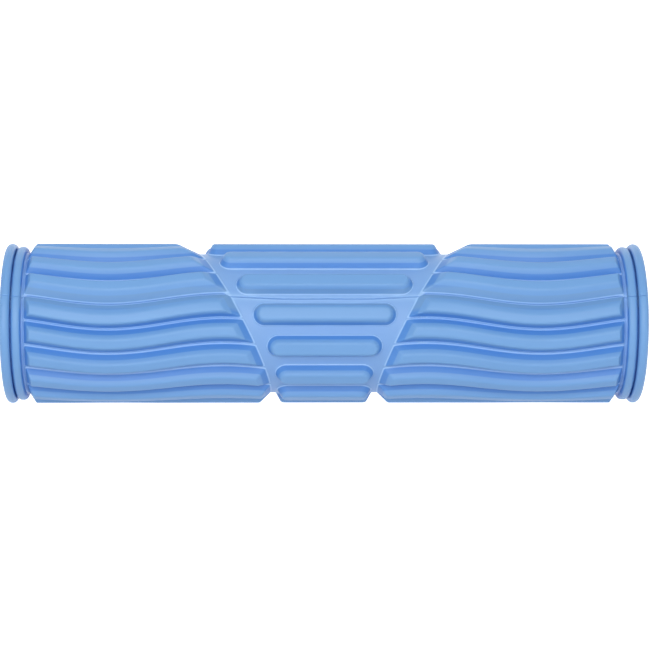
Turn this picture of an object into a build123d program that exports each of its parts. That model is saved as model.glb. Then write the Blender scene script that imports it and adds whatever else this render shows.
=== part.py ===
from build123d import *

import os
from math import atan, cos, degrees, pi, radians, sin, tan

# Foam roller for self massage: two moulded EVA foam half shells bonded round a rigid hollow core tube.
# Millimetres. The roller lies along X with its lowest line on z = 0; +Z is up.
# An angle on the roller is measured round its axis from the front (-Y), positive towards the top (+Z).

# Overall
LENGTH = 594.0
OUTER_R = 75.0
PATTERN_DEPTH = 9.7  # from the crown of the ribs and bars down to the floor of the grooves

# Core tube
CORE_OUTER_R = 55.0
CORE_WALL = 4.0
CORE_RECESS = 1.0  # how far each tube end stands inside the foam's end face
CORE_EDGE_CHAMFER = 1.0

# Parting line between the two half shells
SEAM_ANGLE = 20.0
SEAM_BOW = 0.4  # share of the ribs' swing that it has already reached at the channel
SEAM_EASE = 10.0  # distance over which it turns from the channel into its groove

# End rings: an outer and an inner bead at each end
OUTER_BEAD_WIDTH = 8.9
OUTER_BEAD_ROUND = 4.1
INNER_BEAD_WIDTH = 8.8
INNER_BEAD_ROUND = 3.5
INNER_BEAD_DROP = 2.8  # how far its crest stands below the outer bead's
BEAD_GAP = 1.1  # slot between the two beads
RIB_GAP = 2.3  # slot between the inner bead and the ribs

# Ribbed cells beside the rings
RIB_COUNT = 18
RIB_TOP_WIDTH = 9.0
RIB_SHOULDER = 2.2  # width and drop of the rounded shoulder on each side of a rib's top
SHOULDER_MID_RUN = 1.0  # the point that its arc passes through: this far outside its top's edge,
SHOULDER_MID_DROP = 0.66  # and this far below the crown
RIB_END_RUN = 6.0  # length of the slope at a rib's ring end
RIB_DRAFT = 3.9  # how far the ribs beside the parting line lean away from it, for the mould to let go
WAVE_HEIGHT = 6.0  # sideways swing of a rib to each side of its mean line
WAVE_LENGTH = 212.0
WAVE_CREST_X = 93.0  # distance of the first crest from mid length

# Slanted channel between each ribbed cell and the bars
CHANNEL_MID_X = 84.5  # mean distance of its outer edge from mid length
CHANNEL_SWING = 35.5  # how far that edge swings nearer and farther round the roller
CHANNEL_BANK_RUN = 15.0  # mean length of the slope from its floor up to the ribs' crowns

# Straight bars round the middle
BAR_COUNT = 14
BAR_FOOT_WIDTH = 21.5
BAR_FLANK_RUN = 5.2  # how far a bar's flanks and ends lean in over the pattern's depth
BAR_TOP_ROUND = 3.0
BAR_END_GAP = 5.0  # least floor between a bar's end and the ribs
BAR_END_GAP_EXTRA = 3.4  # added where the channel is most slanted

# Modelling allowances
ROOT_OVERLAP = 3.0  # how far raised shapes are sunk into the foam below them
CUT_OVERSHOOT = 4.0  # how far cutters stand outside the foam
CUT_EASE = 0.8  # how far a groove's cutter widens just outside the crowns
CUT_EASE_RISE = 0.4  # and the height above the crowns where it has done so
GROOVE_ROOT_WIDTH = 1.8  # width of its cutter below the groove's floor
MARGIN = 1.0  # clearance of helper shapes that only need to be big enough
SECTION_STEP = 13.0  # spacing of the sections that carry the wave
SEAM_STEP = 6.0  # spacing of the sections that carry the parting line
MIN_SECTION_GAPS = 4  # fewest gaps between sections, however short the run
DRAFT_FADE = 14  # how fast the ribs' lean fades away from the parting line

FLOOR_R = OUTER_R - PATTERN_DEPTH
ROOT_R = FLOOR_R - ROOT_OVERLAP
CUT_R = OUTER_R + CUT_OVERSHOOT
HALF_LENGTH = LENGTH / 2
MOULD_ANGLE = SEAM_ANGLE - 90.0  # middle of the lower half shell
BEAD_INNER_EDGE = HALF_LENGTH - OUTER_BEAD_WIDTH - BEAD_GAP - INNER_BEAD_WIDTH
RIB_END_X = BEAD_INNER_EDGE - RIB_GAP
TILT = atan(CHANNEL_SWING / FLOOR_R)


def on_roller(x, radius, angle):
    """Point at a distance along the roller, a radius and an angle in degrees."""
    turn = radians(angle)
    return Vector(x, -radius * cos(turn), radius * sin(turn))


def smooth(value):
    """Eases from 0 to 1 as the value does."""
    value = min(1.0, max(0.0, value))
    return value * value * (3.0 - 2.0 * value)


def wave_angle(x):
    """Swing of the ribs round the roller, in degrees, at a distance from mid length."""
    swing = degrees(WAVE_HEIGHT / OUTER_R)
    return swing * cos(2 * pi * (abs(x) - WAVE_CREST_X) / WAVE_LENGTH)


def rib_lean(rib_angle):
    """Shift of a rib's top in degrees: large beside the parting line, nothing elsewhere."""
    from_mould = (rib_angle - MOULD_ANGLE + 90.0) % 180.0 - 90.0
    share = abs(sin(radians(from_mould))) ** DRAFT_FADE
    return degrees(RIB_DRAFT / OUTER_R) * (-share if from_mould > 0 else share)


def seam_swing(x):
    """Swing of the parting line: it bows a little across the bars and follows the ribs in the cells."""
    bow = SEAM_BOW * smooth(abs(x) / CHANNEL_MID_X)
    into_groove = (1 - SEAM_BOW) * smooth((abs(x) - CHANNEL_MID_X) / SEAM_EASE)
    into_cell = bow + into_groove
    out_of_cell = smooth((abs(x) - RIB_END_X + RIB_END_RUN) / (2 * RIB_END_RUN))
    return wave_angle(x) * into_cell * (1 - out_of_cell)


def stations(start, end, step):
    """Evenly spaced distances along the roller."""
    count = max(MIN_SECTION_GAPS, round((end - start) / step))
    return [start + (end - start) * i / count for i in range(count + 1)]


def revolved(profile):
    """Turns a profile, drawn with distance along the roller and radius, round the axis."""
    return revolve(Plane.XY * profile, axis=Axis.X)


def tube(start, end, inner, outer):
    """Plain ring of foam or plastic between two distances along the roller."""
    outline = Polyline((start, inner), (end, inner), (end, outer), (start, outer), close=True)
    return revolved(make_face(outline))


def bead(start, end, crest, rounding):
    """Rounded ring at an end of the roller."""
    outline = Pos((start + end) / 2, (ROOT_R + crest) / 2) * Rectangle(end - start, crest - ROOT_R)
    crown_corners = outline.vertices().filter_by(lambda v: v.Y > FLOOR_R)
    return revolved(fillet(crown_corners, rounding))


def groove_section(x, angle):
    """Outline of a groove between two ribs, rounded over the ribs' shoulders."""
    pitch = 360 / RIB_COUNT
    top_half = pitch / 2 - degrees(RIB_TOP_WIDTH / 2 / OUTER_R)
    shoulder_half = top_half - degrees(RIB_SHOULDER / OUTER_R)
    mid_half = top_half - degrees(SHOULDER_MID_RUN / OUTER_R)
    root_half = degrees(GROOVE_ROOT_WIDTH / 2 / FLOOR_R)
    out_half = top_half + degrees(CUT_EASE / OUTER_R)
    centre = angle + wave_angle(x)

    def corner(radius, half):
        return on_roller(x, radius, centre + half)

    def side(sign):
        lean = rib_lean(angle + sign * pitch / 2)
        foot = corner(FLOOR_R - ROOT_OVERLAP / 2, sign * root_half)
        low = corner(OUTER_R - RIB_SHOULDER, sign * shoulder_half + lean)
        middle = corner(OUTER_R - SHOULDER_MID_DROP, sign * mid_half + lean)
        crown = corner(OUTER_R + CUT_EASE_RISE, sign * out_half + lean)
        out = corner(CUT_R, sign * out_half + lean)
        return foot, low, middle, crown, out

    left = side(-1)
    right = side(1)
    outline = [
        Line(left[0], left[1]),
        ThreePointArc(left[1], left[2], left[3]),
        Line(left[3], left[4]),
        Line(left[4], right[4]),
        Line(right[4], right[3]),
        ThreePointArc(right[3], right[2], right[1]),
        Line(right[1], right[0]),
        Line(right[0], left[0]),
    ]
    return Face(Wire(outline))


def tilted_plane(x):
    """Plane through the axis at x that leans with the channel."""
    up = on_roller(0, 1, MOULD_ANGLE)
    across = on_roller(0, 1, SEAM_ANGLE)
    normal = Vector(1, 0, 0) + up * (CHANNEL_SWING / FLOOR_R)
    return Plane(origin=(x, 0, 0), x_dir=across, z_dir=normal)


def channel_cutter():
    """Everything beside the slope where the ribs of a cell start."""
    slope = CHANNEL_BANK_RUN / PATTERN_DEPTH
    low_r = ROOT_R - MARGIN
    low_plane = tilted_plane(CHANNEL_MID_X + (low_r - FLOOR_R) * slope)
    high_plane = tilted_plane(CHANNEL_MID_X + (CUT_R - FLOOR_R) * slope)
    low = low_plane * Ellipse(low_r, low_r / cos(TILT))
    high = high_plane * Ellipse(CUT_R, CUT_R / cos(TILT))
    bank = loft([low, high], ruled=True)
    beside = extrude(high_plane * Circle(LENGTH), -LENGTH)
    return beside - bank


def ribbed_cell():
    """Ring of wavy ribs between the channel and the end rings, on the +X side."""
    outline = Polyline(
        (0, ROOT_R),
        (RIB_END_X, ROOT_R),
        (RIB_END_X, FLOOR_R),
        (RIB_END_X - RIB_END_RUN, OUTER_R),
        (0, OUTER_R),
        close=True,
    )
    blank = revolved(make_face(outline)) - channel_cutter()
    start = CHANNEL_MID_X - CHANNEL_SWING - SECTION_STEP
    end = RIB_END_X + CUT_OVERSHOOT
    grooves = []
    for i in range(RIB_COUNT):
        angle = SEAM_ANGLE + i * 360 / RIB_COUNT
        grooves.append(loft([groove_section(x, angle) for x in stations(start, end, SECTION_STEP)]))
    return blank - grooves


def bar(angle):
    """Straight bar with round ends; its length follows the slanted channel."""
    from_mould = radians(angle - MOULD_ANGLE)
    edge = CHANNEL_MID_X - CHANNEL_SWING * cos(from_mould)
    slant = atan(CHANNEL_SWING / FLOOR_R * abs(sin(from_mould)))
    gap = BAR_END_GAP + BAR_END_GAP_EXTRA * abs(sin(from_mould))
    half_width = BAR_FOOT_WIDTH / 2
    half_length = edge - (gap + half_width) / cos(slant) + half_width
    lean = BAR_FLANK_RUN / PATTERN_DEPTH

    def layer(radius):
        inset = (radius - FLOOR_R) * lean
        plane = Plane(origin=on_roller(0, radius, angle), x_dir=(1, 0, 0), z_dir=on_roller(0, 1, angle))
        return plane * SlotOverall(2 * (half_length - inset), 2 * (half_width - inset))

    body = loft([layer(ROOT_R), layer(CUT_R)], ruled=True)
    body = body & tube(-LENGTH, LENGTH, ROOT_R - ROOT_OVERLAP, OUTER_R)
    outward = on_roller(0, 1, angle)
    crown = body.faces().sort_by(lambda f: f.center().dot(outward))[-1]
    return fillet(crown.edges(), BAR_TOP_ROUND)


def end_rings():
    """The two beads at the +X end."""
    inner_crest = OUTER_R - INNER_BEAD_DROP
    outer = bead(HALF_LENGTH - OUTER_BEAD_WIDTH, HALF_LENGTH, OUTER_R, OUTER_BEAD_ROUND)
    inner = bead(BEAD_INNER_EDGE, BEAD_INNER_EDGE + INNER_BEAD_WIDTH, inner_crest, INNER_BEAD_ROUND)
    return [outer, inner]


def sleeve():
    """The whole foam sleeve, before it is parted into half shells."""
    one_end = [ribbed_cell()] + end_rings()
    other_end = [mirror(piece, about=Plane.YZ) for piece in one_end]
    bar_pitch = 360 / BAR_COUNT
    bars = [bar(SEAM_ANGLE + (i + 0.5) * bar_pitch) for i in range(BAR_COUNT)]
    base = tube(-HALF_LENGTH, HALF_LENGTH, CORE_OUTER_R, FLOOR_R)
    return base + one_end + other_end + bars


def upper_side():
    """Everything on the upper side of the parting line."""
    reach = 2 * OUTER_R

    def section(x):
        angle = SEAM_ANGLE + seam_swing(x)
        corners = [
            on_roller(x, reach, angle),
            on_roller(x, 2 * reach, angle + 90),
            on_roller(x, reach, angle + 180),
        ]
        return make_face(Polyline(*corners, close=True))

    end = HALF_LENGTH + CUT_OVERSHOOT
    return loft([section(x) for x in stations(-end, end, SEAM_STEP)])


def core_tube():
    """Rigid hollow tube that the foam is bonded to."""
    half = HALF_LENGTH - CORE_RECESS
    pipe = tube(-half, half, CORE_OUTER_R - CORE_WALL, CORE_OUTER_R)
    rims = pipe.edges().filter_by(GeomType.CIRCLE)
    inner_rims = rims.filter_by(lambda e: e.radius < CORE_OUTER_R - CORE_WALL / 2)
    return chamfer(inner_rims, CORE_EDGE_CHAMFER)


def write(shape, node):
    """Stands the piece on z = 0 and saves it."""
    export_step(Pos(0, 0, OUTER_R) * shape, "parts/" + node + ".step")


os.makedirs("parts", exist_ok=True)
foam = sleeve()
upper = upper_side()
write(foam & upper, "upper_foam_shell")
write(foam - upper, "lower_foam_shell")
write(core_tube(), "core_tube")
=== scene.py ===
from math import cos, pi, radians, sin

import bpy
import numpy as np
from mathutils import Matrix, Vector


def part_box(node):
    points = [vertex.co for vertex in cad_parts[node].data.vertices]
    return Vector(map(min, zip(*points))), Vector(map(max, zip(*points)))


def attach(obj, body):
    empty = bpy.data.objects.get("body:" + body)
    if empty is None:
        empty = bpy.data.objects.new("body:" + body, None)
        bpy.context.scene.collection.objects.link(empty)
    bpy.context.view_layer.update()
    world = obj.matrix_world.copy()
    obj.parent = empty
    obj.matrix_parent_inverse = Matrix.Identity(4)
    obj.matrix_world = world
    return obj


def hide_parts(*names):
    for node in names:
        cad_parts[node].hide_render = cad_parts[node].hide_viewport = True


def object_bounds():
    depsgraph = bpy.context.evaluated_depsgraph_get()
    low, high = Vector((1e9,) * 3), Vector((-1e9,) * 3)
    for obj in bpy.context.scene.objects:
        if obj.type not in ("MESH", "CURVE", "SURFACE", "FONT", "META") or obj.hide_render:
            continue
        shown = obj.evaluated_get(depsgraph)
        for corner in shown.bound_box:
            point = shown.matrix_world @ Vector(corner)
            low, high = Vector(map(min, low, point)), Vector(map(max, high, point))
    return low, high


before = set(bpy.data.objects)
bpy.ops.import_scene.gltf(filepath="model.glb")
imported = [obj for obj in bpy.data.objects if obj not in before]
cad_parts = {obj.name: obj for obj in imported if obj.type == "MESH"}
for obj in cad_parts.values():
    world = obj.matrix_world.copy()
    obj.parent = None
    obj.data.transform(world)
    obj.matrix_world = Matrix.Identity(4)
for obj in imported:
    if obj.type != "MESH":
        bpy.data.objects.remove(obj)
cad_low, cad_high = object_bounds()

# Sizes in millimetres, as in the CAD model; the overall ones are read from the frame.
MM = 0.001
HALF_LENGTH = (cad_high[0] - cad_low[0]) / 2 / MM
OUTER_R = (cad_high[2] - cad_low[2]) / 2 / MM
core_low, core_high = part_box("core_tube")
BORE_R = (core_high[2] - core_low[2]) / 2 / MM
AXIS_Z = (core_high[2] + core_low[2]) / 2
PATTERN_DEPTH = 9.7  # from the crowns down to the floor of the grooves
FLOOR_R = OUTER_R - PATTERN_DEPTH
SEAM_ANGLE = 20.0
MOULD_ANGLE = SEAM_ANGLE - 90.0  # middle of the lower half shell
SEAM_BOW = 0.4  # share of the ribs' swing that the parting line has reached at the channel
SEAM_EASE = 10.0  # distance over which it turns from the channel into its groove

# Two beads at each end
OUTER_BEAD_WIDTH, OUTER_BEAD_ROUND = 8.9, 4.1
INNER_BEAD_WIDTH, INNER_BEAD_ROUND, INNER_BEAD_DROP = 8.8, 3.5, 2.8
BEAD_GAP = 1.1
RIB_GAP = 2.3  # slot between the inner bead and the ribs
INNER_BEAD_END = HALF_LENGTH - OUTER_BEAD_WIDTH - BEAD_GAP
INNER_BEAD_START = INNER_BEAD_END - INNER_BEAD_WIDTH
INNER_BEAD = (INNER_BEAD_START, INNER_BEAD_END, OUTER_R - INNER_BEAD_DROP, INNER_BEAD_ROUND)
OUTER_BEAD = (HALF_LENGTH - OUTER_BEAD_WIDTH, HALF_LENGTH, OUTER_R, OUTER_BEAD_ROUND)

# Wavy ribs, slanted channel and straight bars
RIB_END_X = INNER_BEAD_START - RIB_GAP
RIB_END_RUN = 6.0  # length of the slope at a rib's ring end
RIB_COUNT = 18
RIB_TOP = 3.4  # half width of a rib's top, in degrees
GROOVE_FLOOR = 0.5  # half width of a groove's floor, in degrees
RIB_DRAFT = 3.0  # lean of the ribs by the parting line to the middle of their half, in degrees
DRAFT_FADE = 14  # how fast that lean fades away from the parting line
WAVE_HEIGHT, WAVE_LENGTH, WAVE_CREST_X = 6.0, 212.0, 93.0
CHANNEL_MID_X, CHANNEL_SWING, CHANNEL_BANK_RUN = 84.5, 35.5, 15.0
BAR_COUNT = 14
BAR_FOOT = 10.75  # half width of a bar's foot
BAR_FLANK_RUN = 5.2
BAR_SIDE_RISE = 2.0  # height above the floor at which a bar's width is measured
BAR_END_GAP, BAR_END_GAP_EXTRA = 5.0, 3.4

# Heights over which corners are rounded
EDGE_ROUND = 0.5
RIB_TOP_ROUND = 1.3
CELL_ROUND = 1.1
BAR_TOP_ROUND = 2.4
FLOOR_ROUND = 0.8

# Raised lip along the parting line, and the fine line in it
LIP_HEIGHT, LIP_SPREAD = 0.35, 6.0
LINE_DEPTH, LINE_WIDTH = 0.75, 0.55

# Mesh of a half shell
SPANS = [(0, 34, 10), (34, 132, 84), (132, 262, 48), (262, RIB_END_X, 20)]  # start, end, columns
NEAR_SEAM = [0.0, 0.25, 0.5, 0.8, 1.2]  # rows close beside the parting line, in degrees
FIRST_EVEN_ROW = 1.8
EVEN_ROWS = 204
INNER_ROWS = 19
INNER_INSET = 0.8  # how far the foam's inner edge stands inside its end face
SHARP_ANGLE = 62


# ---------------------------------------------------------------- shape of the foam

def smooth(v):
    v = np.clip(v, 0.0, 1.0)
    return v * v * (3.0 - 2.0 * v)


def rounded_min(a, b, k):
    """The lower of two heights, with the corner between them rounded over k."""
    h = np.clip(0.5 + 0.5 * (b - a) / k, 0.0, 1.0)
    return b * (1 - h) + a * h - k * h * (1 - h)


def rounded_max(a, b, k):
    return -rounded_min(-a, -b, k)


def wave(x):
    return np.degrees(WAVE_HEIGHT / OUTER_R) * np.cos(2 * pi * (np.abs(x) - WAVE_CREST_X) / WAVE_LENGTH)


def seam_swing(x):
    bow = SEAM_BOW * smooth(np.abs(x) / CHANNEL_MID_X)
    into_groove = (1 - SEAM_BOW) * smooth((np.abs(x) - CHANNEL_MID_X) / SEAM_EASE)
    out_of_cell = smooth((np.abs(x) - RIB_END_X + RIB_END_RUN) / (2 * RIB_END_RUN))
    return wave(x) * (bow + into_groove) * (1 - out_of_cell)


def fold(angle, pitch):
    """Signed angle from the middle of the pattern's nearest repeat."""
    return (angle + pitch / 2) % pitch - pitch / 2


def rib_height(x, turn):
    """Radius over the ribs of an end cell. turn is measured from the parting line, in degrees."""
    pitch = 360 / RIB_COUNT
    rel = turn - wave(x)
    across = fold(rel - pitch / 2, pitch)
    from_mould = fold(rel - across + 90.0, 180.0)
    lean = -RIB_DRAFT * np.sign(from_mould) * np.abs(np.sin(np.radians(from_mould))) ** DRAFT_FADE
    foot = pitch / 2 - GROOVE_FLOOR
    rise = OUTER_R - FLOOR_R
    low_side = FLOOR_R + rise * (across + foot) / (foot - RIB_TOP + lean)
    high_side = FLOOR_R + rise * (foot - across) / (foot - RIB_TOP - lean)
    return rounded_min(rounded_min(low_side, high_side, EDGE_ROUND), OUTER_R, RIB_TOP_ROUND)


def cell_height(x, turn):
    """Radius over an end cell, with the slopes at the ends of its ribs."""
    rise = OUTER_R - FLOOR_R
    slope = rise / CHANNEL_BANK_RUN
    lean = CHANNEL_SWING / FLOOR_R * np.cos(np.radians(turn + SEAM_ANGLE - MOULD_ANGLE))
    bank = (FLOOR_R + (np.abs(x) - CHANNEL_MID_X) * slope) / (1 - slope * lean)
    ring_end = FLOOR_R + (RIB_END_X - np.abs(x)) * rise / RIB_END_RUN
    ends = rounded_min(bank, ring_end, EDGE_ROUND)
    return rounded_min(rib_height(x, turn), ends, CELL_ROUND)


def bar_height(x, turn):
    """Radius over the straight bars round the middle."""
    pitch = 360 / BAR_COUNT
    across = fold(turn - pitch / 2, pitch)
    from_mould = np.radians(turn - across + SEAM_ANGLE - MOULD_ANGLE)
    edge = CHANNEL_MID_X - CHANNEL_SWING * np.cos(from_mould)
    slant = np.arctan(CHANNEL_SWING / FLOOR_R * np.abs(np.sin(from_mould)))
    gap = BAR_END_GAP + BAR_END_GAP_EXTRA * np.abs(np.sin(from_mould))
    half_length = edge - (gap + BAR_FOOT) / np.cos(slant) + BAR_FOOT
    beyond = np.maximum(np.abs(x) - (half_length - BAR_FOOT), 0.0)
    side = np.radians(across) * (FLOOR_R + BAR_SIDE_RISE)
    inside = BAR_FOOT - np.hypot(beyond, side)
    flank = FLOOR_R + inside * (OUTER_R - FLOOR_R) / BAR_FLANK_RUN
    return rounded_min(flank, OUTER_R, BAR_TOP_ROUND)


def foam_radius(x, turn):
    """Radius over the whole pattern between the end rings."""
    raised = np.maximum(cell_height(x, turn), bar_height(x, turn))
    return rounded_max(raised, FLOOR_R, FLOOR_ROUND)


def bead_points(start, end, crest, rounding, steps=8):
    """Outline of a bead as (distance from mid length, radius), from inner to outer wall."""
    points = [(start, FLOOR_R + 0.3), (start, (FLOOR_R + crest - rounding) / 2)]
    for i in range(steps + 1):
        a = pi / 2 * i / steps
        points.append((start + rounding * (1 - cos(a)), crest - rounding * (1 - sin(a))))
    for i in range(steps + 1):
        a = pi / 2 * (1 - i / steps)
        points.append((end - rounding * (1 - cos(a)), crest - rounding * (1 - sin(a))))
    return points


def outline():
    """Stations from mid length to one end: distance, and a radius where the shape is a plain ring."""
    points = []
    for start, end, count in SPANS:
        points += [(start + (end - start) * i / count, None) for i in range(count)]
    points += [(RIB_END_X, FLOOR_R), (INNER_BEAD_START - 0.3, FLOOR_R)]
    points += bead_points(*INNER_BEAD)
    points += [(INNER_BEAD_END, FLOOR_R + 1.0), (INNER_BEAD_END + 0.5, FLOOR_R)]
    points += [(OUTER_BEAD[0] - 0.5, FLOOR_R)]
    points += bead_points(*OUTER_BEAD)
    points += [(HALF_LENGTH, OUTER_R - 7.5), (HALF_LENGTH, BORE_R + 5.0), (HALF_LENGTH, BORE_R + 0.8)]
    return points


def seam_lip(turn):
    """Height of the lip along the parting line, less the fine line in it, by angle from it."""
    away = np.minimum(turn % 180.0, 180.0 - turn % 180.0)
    mm = np.radians(away) * OUTER_R
    return LIP_HEIGHT * np.exp(-mm / LIP_SPREAD) - LINE_DEPTH * np.exp(-((mm / LINE_WIDTH) ** 2))


def shell_mesh(name, first_turn):
    """One moulded half shell as a closed mesh, from one parting face to the other."""
    one_side = outline()
    stations = [(-x, r) for x, r in reversed(one_side[1:])] + one_side
    x = np.array([p[0] for p in stations])
    plain = np.array([np.nan if p[1] is None else p[1] for p in stations])
    even = list(np.linspace(FIRST_EVEN_ROW, 180 - FIRST_EVEN_ROW, EVEN_ROWS))
    turns = np.array(NEAR_SEAM + even + [180 - t for t in reversed(NEAR_SEAM)])
    rows = len(turns)
    cols = len(x)
    turn = turns[:, None] + seam_swing(x)[None, :] + first_turn
    from_seam = np.broadcast_to(turns[:, None], turn.shape)
    along = np.broadcast_to(x, turn.shape)
    radius = np.where(np.isnan(plain), foam_radius(along, turn), plain)
    # the lip never stands above the crowns, and the flat end faces have none
    lip = np.minimum(seam_lip(from_seam), OUTER_R - radius)
    on_end = np.abs(x) >= HALF_LENGTH - 1e-6
    radius = radius + np.where(on_end, 0.0, lip)
    angle = np.radians(turn + SEAM_ANGLE)
    outer = np.stack([along, -radius * np.cos(angle), radius * np.sin(angle)], -1)

    inner_rows = np.unique(np.round(np.linspace(0, rows - 1, INNER_ROWS)).astype(int))
    # the small steps keep the columns of one end face apart, which would otherwise fall together
    inner_x = x * (HALF_LENGTH - INNER_INSET) / HALF_LENGTH + np.arange(cols) * 1e-4
    inner_angle = angle[inner_rows]
    inner_along = np.broadcast_to(inner_x, inner_angle.shape)
    inner = np.stack([inner_along, -BORE_R * np.cos(inner_angle), BORE_R * np.sin(inner_angle)], -1)
    verts = np.concatenate([outer.reshape(-1, 3), inner.reshape(-1, 3)]) * MM
    verts[:, 2] += AXIS_Z
    base = rows * cols

    def out(i, j):
        return i * cols + j

    def inn(i, j):
        return base + i * cols + j

    faces = []
    for i in range(rows - 1):
        for j in range(cols - 1):
            faces.append((out(i, j), out(i, j + 1), out(i + 1, j + 1), out(i + 1, j)))
    last = len(inner_rows) - 1
    for i in range(last):
        for j in range(cols - 1):
            faces.append((inn(i, j), inn(i + 1, j), inn(i + 1, j + 1), inn(i, j + 1)))
    for j in range(cols - 1):
        faces.append((out(0, j), inn(0, j), inn(0, j + 1), out(0, j + 1)))
        faces.append((out(rows - 1, j), out(rows - 1, j + 1), inn(last, j + 1), inn(last, j)))
    for k in range(last):
        a, b = inner_rows[k], inner_rows[k + 1]
        middle = (a + b) // 2
        for i in range(a, b):
            near = k if i < middle else k + 1
            faces.append((out(i, 0), out(i + 1, 0), inn(near, 0)))
            faces.append((out(i + 1, cols - 1), out(i, cols - 1), inn(near, cols - 1)))
        faces.append((out(middle, 0), inn(k + 1, 0), inn(k, 0)))
        faces.append((out(middle, cols - 1), inn(k, cols - 1), inn(k + 1, cols - 1)))
    mesh = bpy.data.meshes.new(name)
    mesh.from_pydata(verts.tolist(), [], faces)
    mesh.polygons.foreach_set("use_smooth", [True] * len(mesh.polygons))
    mesh.set_sharp_from_angle(angle=radians(SHARP_ANGLE))
    mesh.update()
    piece = bpy.data.objects.new(name, mesh)
    bpy.context.scene.collection.objects.link(piece)
    return piece


# ---------------------------------------------------------------- materials

def new_material(name):
    material = bpy.data.materials.new(name)
    material.use_nodes = True
    nodes = material.node_tree.nodes
    links = material.node_tree.links
    return material, nodes, links, nodes["Principled BSDF"]


def math_node(nodes, links, operation, a, b=None, clamp=False):
    node = nodes.new("ShaderNodeMath")
    node.operation = operation
    node.use_clamp = clamp
    for socket, value in zip(node.inputs, (a, b)):
        if value is None:
            continue
        if isinstance(value, (int, float)):
            socket.default_value = value
        else:
            links.new(value, socket)
    return node.outputs[0]


# Blues of the foam; a pair is the range that its soft mottling runs over
# painted light and shade: the crowns' lighter blue is partly a painted sheen, the flanks' deeper blue
# partly painted shade
CROWN_BLUES = ((0.150, 0.350, 0.695), (0.170, 0.380, 0.735))
SHADED_FLANK_BLUES = ((0.082, 0.262, 0.665), (0.096, 0.288, 0.700))
# painted light on the rib flanks beside the parting line
SEAM_FLANK_LIT_BLUE = (0.165, 0.345, 0.640)
# painted highlight along the foot of the ribs and bars, just above the floor
FOOT_HIGHLIGHT_BLUE = (0.330, 0.560, 0.900)
# painted light on the floor, and painted highlight lines along the groove bottoms
LIT_FLOOR_BLUE = (0.205, 0.400, 0.760)


def foam_material():
    """Moulded closed-cell EVA foam: satin skin and fine pores.

    The ribs' flanks are a deeper blue than their crowns, partly painted shade of the grooves,
    and the crowns' lighter blue is partly a painted sheen. The floor is paler as painted light,
    and a thin band just above it paler still as a painted highlight line.
    """
    material, nodes, links, shader = new_material("eva_foam")
    place = nodes.new("ShaderNodeTexCoord").outputs["Object"]

    cloud = nodes.new("ShaderNodeTexNoise")
    cloud.inputs["Scale"].default_value = 14.0
    cloud.inputs["Detail"].default_value = 4.0
    links.new(place, cloud.inputs["Vector"])
    grain = nodes.new("ShaderNodeTexNoise")
    grain.inputs["Scale"].default_value = 900.0
    grain.inputs["Detail"].default_value = 3.0
    links.new(place, grain.inputs["Vector"])

    parts = nodes.new("ShaderNodeSeparateXYZ")
    links.new(place, parts.inputs[0])
    height = math_node(nodes, links, "SUBTRACT", parts.outputs["Z"], AXIS_Z)
    squares = math_node(
        nodes, links, "ADD",
        math_node(nodes, links, "MULTIPLY", parts.outputs["Y"], parts.outputs["Y"]),
        math_node(nodes, links, "MULTIPLY", height, height),
    )
    radius = math_node(nodes, links, "SQRT", squares)

    def over_radius(low, high):
        """0 below one radius and 1 above the other, in millimetres."""
        ramp = nodes.new("ShaderNodeMapRange")
        ramp.interpolation_type = "SMOOTHSTEP"
        ramp.inputs["From Min"].default_value = low * MM
        ramp.inputs["From Max"].default_value = high * MM
        links.new(radius, ramp.inputs["Value"])
        return ramp.outputs[0]

    def blend(factor, first, second):
        mix = nodes.new("ShaderNodeMix")
        mix.data_type = "RGBA"
        links.new(factor, mix.inputs["Factor"])
        for socket, value in (("A", first), ("B", second)):
            if isinstance(value, tuple):
                mix.inputs[socket].default_value = (*value, 1)
            else:
                links.new(value, mix.inputs[socket])
        return mix.outputs["Result"]

    # distance from the parting plane; near it both flanks of a rib get a paler blue, painted light on
    # the open flanks by the parting line
    seam_y, seam_z = sin(radians(SEAM_ANGLE)), cos(radians(SEAM_ANGLE))
    across_seam = math_node(
        nodes, links, "ADD",
        math_node(nodes, links, "MULTIPLY", parts.outputs["Y"], seam_y),
        math_node(nodes, links, "MULTIPLY", height, seam_z),
    )
    off_seam = nodes.new("ShaderNodeMapRange")
    off_seam.inputs["From Min"].default_value = 9 * MM
    off_seam.inputs["From Max"].default_value = 14 * MM
    links.new(math_node(nodes, links, "ABSOLUTE", across_seam), off_seam.inputs["Value"])

    crown = blend(cloud.outputs["Fac"], *CROWN_BLUES)
    shaded_flank = blend(cloud.outputs["Fac"], *SHADED_FLANK_BLUES)
    # painted light: paler flanks beside the parting line
    flank = blend(off_seam.outputs[0], SEAM_FLANK_LIT_BLUE, shaded_flank)
    # painted shade and sheen: below the crowns the flanks take the deeper blue, the crowns the lighter
    # one
    raised = blend(over_radius(OUTER_R - 4.6, OUTER_R - 3.4), flank, crown)
    # painted highlight: a paler band just above the floor
    lip = blend(over_radius(FLOOR_R + 0.8, FLOOR_R + 1.4), FOOT_HIGHLIGHT_BLUE, raised)
    # painted light: the floor and the groove bottoms paler
    colour = blend(over_radius(FLOOR_R + 0.1, FLOOR_R + 0.4), LIT_FLOOR_BLUE, lip)
    links.new(colour, shader.inputs["Base Color"])

    rough = nodes.new("ShaderNodeMapRange")
    rough.inputs["To Min"].default_value = 0.36
    rough.inputs["To Max"].default_value = 0.48
    links.new(cloud.outputs["Fac"], rough.inputs["Value"])
    links.new(rough.outputs[0], shader.inputs["Roughness"])

    bump = nodes.new("ShaderNodeBump")
    bump.inputs["Strength"].default_value = 0.25
    bump.inputs["Distance"].default_value = 0.00025
    links.new(grain.outputs["Fac"], bump.inputs["Height"])
    links.new(bump.outputs["Normal"], shader.inputs["Normal"])
    return material


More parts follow.
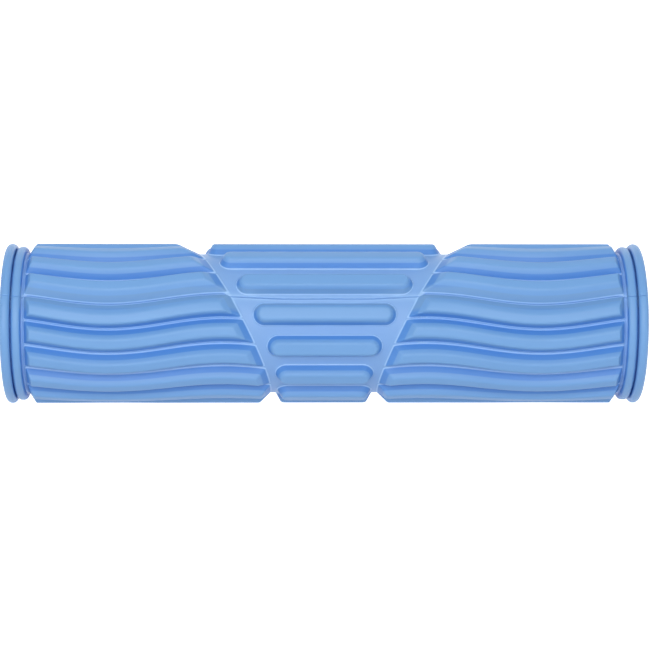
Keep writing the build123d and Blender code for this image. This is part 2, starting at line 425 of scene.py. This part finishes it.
def tube_material():
    """Extruded ABS: near black, with faint lengthwise draw lines."""
    material, nodes, links, shader = new_material("core_abs")
    place = nodes.new("ShaderNodeTexCoord").outputs["Object"]
    stretch = nodes.new("ShaderNodeMapping")
    stretch.inputs["Scale"].default_value = (2.0, 160.0, 160.0)
    links.new(place, stretch.inputs["Vector"])
    lines = nodes.new("ShaderNodeTexNoise")
    lines.inputs["Scale"].default_value = 3.0
    links.new(stretch.outputs["Vector"], lines.inputs["Vector"])
    tone = nodes.new("ShaderNodeMix")
    tone.data_type = "RGBA"
    tone.inputs["A"].default_value = (0.012, 0.012, 0.014, 1)
    tone.inputs["B"].default_value = (0.030, 0.030, 0.034, 1)
    links.new(lines.outputs["Fac"], tone.inputs["Factor"])
    links.new(tone.outputs["Result"], shader.inputs["Base Color"])
    shader.inputs["Roughness"].default_value = 0.38
    bump = nodes.new("ShaderNodeBump")
    bump.inputs["Strength"].default_value = 0.3
    bump.inputs["Distance"].default_value = 0.0002
    links.new(lines.outputs["Fac"], bump.inputs["Height"])
    links.new(bump.outputs["Normal"], shader.inputs["Normal"])
    return material


# ---------------------------------------------------------------- the object

foam = foam_material()
for name, node, first_turn in (
    ("foam_upper", "upper_foam_shell", 0.0),
    ("foam_lower", "lower_foam_shell", 180.0),
):
    shell = shell_mesh(name, first_turn)
    shell.data.materials.append(foam)
    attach(shell, "root")
    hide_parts(node)

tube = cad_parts["core_tube"]
tube.data.materials.clear()
tube.data.materials.append(tube_material())


# ---------------------------------------------------------------- floor, light and camera

def flat_material(name, colour, strength):
    material, nodes, links, shader = new_material(name)
    shader.inputs["Base Color"].default_value = (*colour, 1)
    shader.inputs["Roughness"].default_value = 0.9
    shader.inputs["Emission Color"].default_value = (1, 1, 1, 1)
    shader.inputs["Emission Strength"].default_value = strength
    return material


def panel(name, corners, material):
    mesh = bpy.data.meshes.new(name)
    mesh.from_pydata(corners, [], [(0, 1, 2, 3)])
    mesh.materials.append(material)
    plate = bpy.data.objects.new(name, mesh)
    bpy.context.scene.collection.objects.link(plate)


def area_light(name, place, aim, size, power, colour=(1, 1, 1)):
    data = bpy.data.lights.new(name, "AREA")
    data.shape = "RECTANGLE"
    data.size, data.size_y = size
    data.energy = power
    data.color = colour
    lamp = bpy.data.objects.new(name, data)
    lamp.location = place
    lamp.rotation_euler = (Vector(aim) - Vector(place)).to_track_quat("-Z", "Y").to_euler()
    bpy.context.scene.collection.objects.link(lamp)


SIDE, BACK, TOP, SUNK = 4, 3, 4, -0.01  # the stage's half width, backdrop, height and foot
white = flat_material("studio_white", (0.9, 0.9, 0.9), 1.0)
panel("studio_floor", [(-SIDE, -SIDE, 0), (SIDE, -SIDE, 0), (SIDE, SIDE, 0), (-SIDE, SIDE, 0)], white)
# each wall stands on a line on the floor
WALLS = {
    "studio_backdrop": ((-SIDE, BACK), (SIDE, BACK)),
    "studio_left": ((-SIDE, -SIDE), (-SIDE, BACK)),
    "studio_right": ((SIDE, -SIDE), (SIDE, BACK)),
    "studio_front": ((-SIDE, -SIDE), (SIDE, -SIDE)),
}
for name, (foot_a, foot_b) in WALLS.items():
    panel(name, [(*foot_a, SUNK), (*foot_b, SUNK), (*foot_b, TOP), (*foot_a, TOP)], white)
# the sky lights the roller from all round, so the stage doesn't, and its nearer walls are only seen
for name in ("studio_floor", *WALLS):
    bpy.data.objects[name].visible_diffuse = False
for name in ("studio_left", "studio_right", "studio_front"):
    bpy.data.objects[name].visible_shadow = False
    bpy.data.objects[name].visible_glossy = False

middle = Vector((0, 0, AXIS_Z))
area_light("front_box", (-0.3, -2.3, 0.5), middle, (2.6, 1.0), 26.0)
area_light("top_soft", (0.2, -0.2, 1.8), middle, (2.4, 0.8), 1.5)

world = bpy.data.worlds.new("studio")
world.use_nodes = True
sky, sky_links = world.node_tree.nodes, world.node_tree.links
direction = sky.new("ShaderNodeSeparateXYZ")
sky_links.new(sky.new("ShaderNodeTexCoord").outputs["Generated"], direction.inputs[0])
fade = sky.new("ShaderNodeMapRange")
fade.inputs["From Min"].default_value = -0.6
fade.inputs["From Max"].default_value = 0.6
fade.inputs["To Min"].default_value = 0.62
fade.inputs["To Max"].default_value = 0.66
sky_links.new(direction.outputs["Z"], fade.inputs["Value"])
sky["Background"].inputs["Color"].default_value = (1, 1, 1, 1)
sky_links.new(fade.outputs[0], sky["Background"].inputs["Strength"])
bpy.context.scene.world = world

IMAGE_WIDTH = 650
camera_data = bpy.data.cameras.new("camera")
camera_data.sensor_width = 36.0
camera_data.lens = 126.0
camera_data.shift_x = 1.5 / IMAGE_WIDTH
camera_data.shift_y = -1.7 / IMAGE_WIDTH
camera_data.clip_end = 50.0
camera = bpy.data.objects.new("camera", camera_data)
distance = 2.15
azimuth = radians(-1.07)
camera.location = middle + Vector((distance * sin(azimuth), -distance * cos(azimuth), 0))
camera.rotation_euler = (middle - camera.location).to_track_quat("-Z", "Y").to_euler()
bpy.context.scene.collection.objects.link(camera)
bpy.context.scene.camera = camera
bpy.context.scene.view_settings.view_transform = "Standard"
